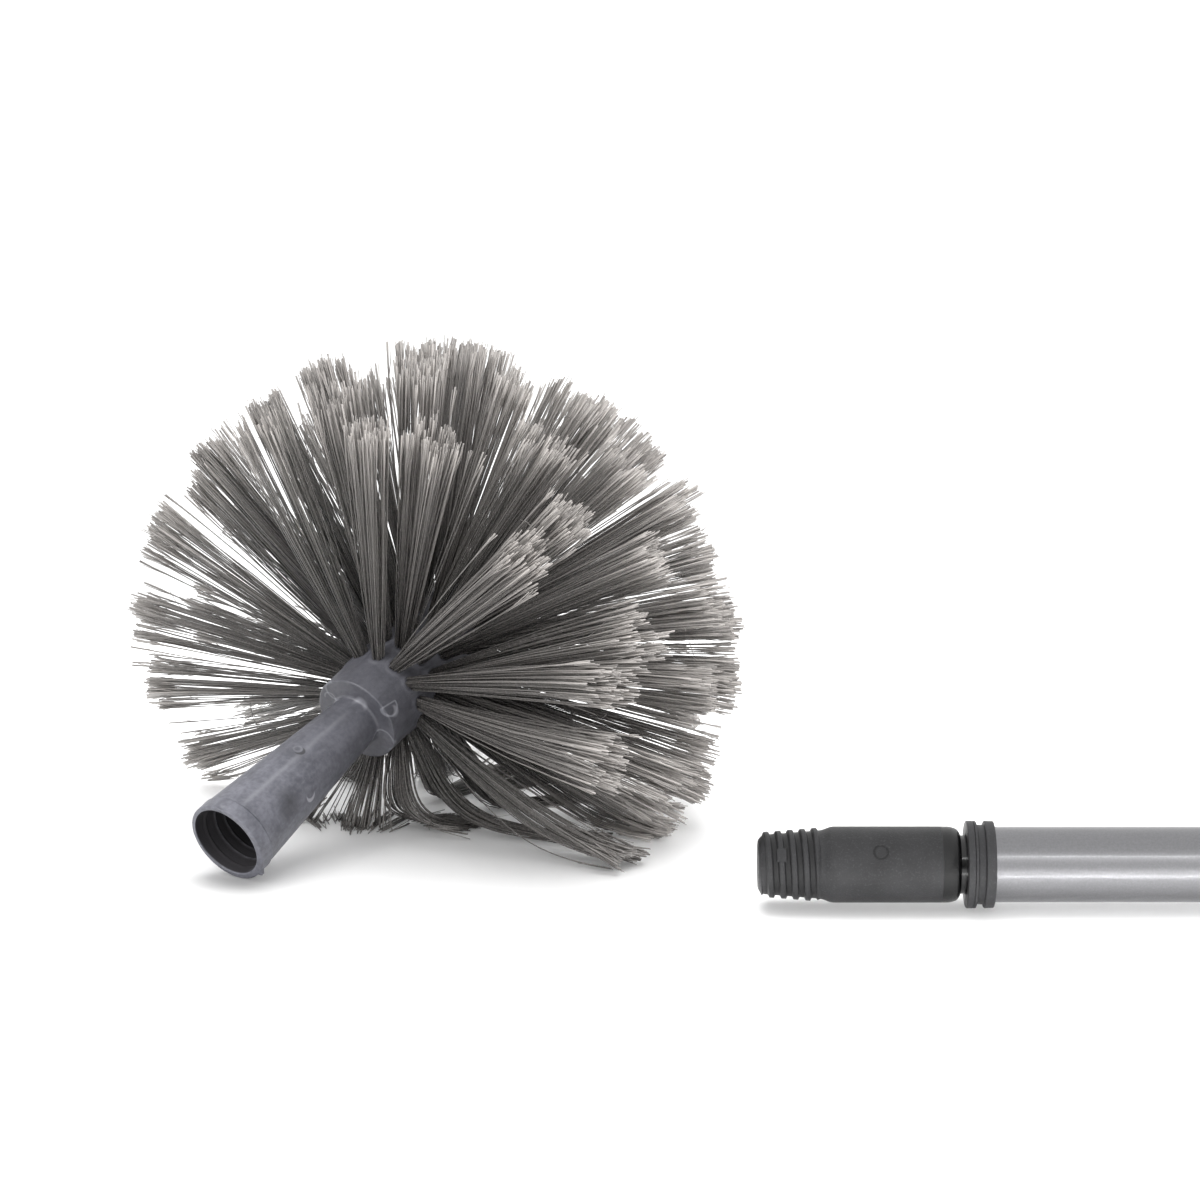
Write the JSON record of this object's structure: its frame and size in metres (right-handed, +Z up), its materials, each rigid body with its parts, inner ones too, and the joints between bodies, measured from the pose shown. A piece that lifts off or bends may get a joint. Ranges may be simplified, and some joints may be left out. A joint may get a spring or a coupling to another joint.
{
  "type": "telescopic ceiling brush",
  "caption": "Telescopic pole with twist lock, threaded tip and hanging eye, beside its unscrewed ball-shaped brush head with a tapered threaded socket.",
  "frame": {"origin": "centre of the flat end face of the pole's threaded tip", "axes": "+X along the pole from the tip to the hanging eye, +Z up from the floor that pole and head lie on"},
  "size_m": [0.9509, 0.237, 0.1686],
  "materials": {
    "outer_tube_paint": "satin light grey paint",
    "inner_tube_paint": "glossy near-black paint",
    "tip_plastic": "dull dark grey moulding",
    "head_plastic": "dull blue-grey moulding with scuffs",
    "lock_plastic": "natural white moulding",
    "zinc_steel": "zinc plated",
    "bristle": "warm grey filaments with pale trimmed tips"
  },
  "bodies": {
    "outer_pole": {"outer_tube": "outer_tube_paint", "guide_collar": "tip_plastic", "hand_grip": "tip_plastic", "hanging_cap": "tip_plastic", "brush_core": "head_plastic", "tuft_row_1": "bristle", "tuft_row_2": "bristle", "tuft_row_3": "bristle", "tuft_row_4": "bristle", "tuft_row_5": "bristle", "tuft_nose": "bristle"},
    "lock_expander": {"lock_expander": "lock_plastic"},
    "inner_pole": {"inner_tube": "inner_tube_paint", "threaded_tip": "tip_plastic", "lock_plug": "lock_plastic", "lock_washer": "zinc_steel", "lock_screw": "zinc_steel"}
  },
  "joints": [
    {"name": "telescope", "type": "slide", "parent": "outer_pole", "child": "lock_expander", "axis": [-1, 0, 0], "range_m": [-0.0014, 0.5666]},
    {"name": "twist_lock", "type": "hinge", "parent": "lock_expander", "child": "inner_pole", "pos_m": [0, 0, 0], "axis": [1, 0, 0], "range_deg": [0, 180]}
  ]
}
